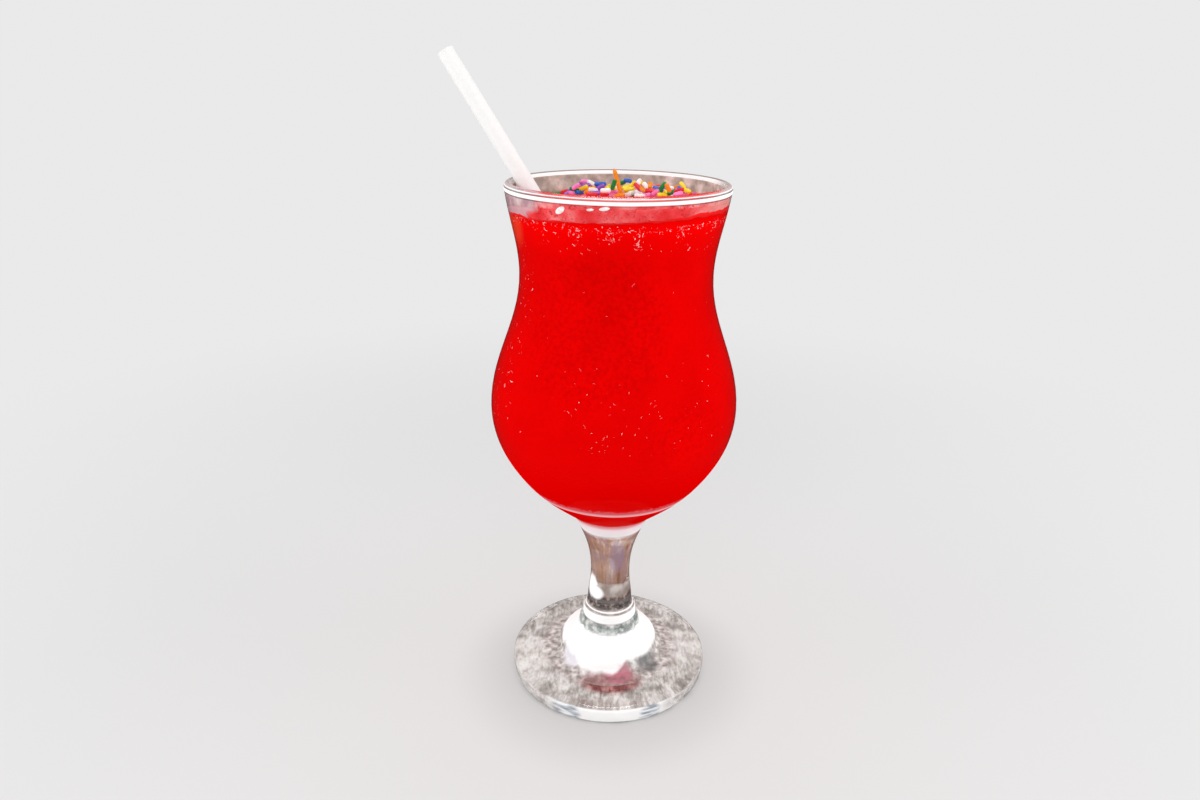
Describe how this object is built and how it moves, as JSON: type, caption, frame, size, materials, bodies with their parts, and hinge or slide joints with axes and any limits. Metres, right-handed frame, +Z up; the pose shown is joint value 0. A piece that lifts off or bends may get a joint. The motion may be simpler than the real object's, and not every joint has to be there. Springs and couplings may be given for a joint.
{
  "type": "strawberry daiquiri in a footed cocktail glass",
  "caption": "Strawberry daiquiri in a curved, footed cocktail glass, with a froth layer, rainbow sugar sprinkles and a leaning white straw.",
  "frame": {"origin": "on the glass's axis, on the flat underside of its foot", "axes": "+Z up along the glass's axis, -Y the front that the picture shows, and the straw leans out towards -X"},
  "size_m": [0.1048, 0.0892, 0.235],
  "materials": {
    "clear_glass": "clear pressed soda-lime glass, fire polished, with a rounded rim",
    "red_slush": "opaque wet blended strawberry slush with fine ice and small bubbles",
    "pink_froth": "pink froth with fine bubbles, and hard glossy sugar sprinkles in mixed colours",
    "white_straw": "plain smooth white straw, matt"
  },
  "bodies": {
    "root": {"glass": "clear_glass", "daiquiri": "red_slush", "froth": "pink_froth", "straw": "white_straw"}
  },
  "joints": []
}
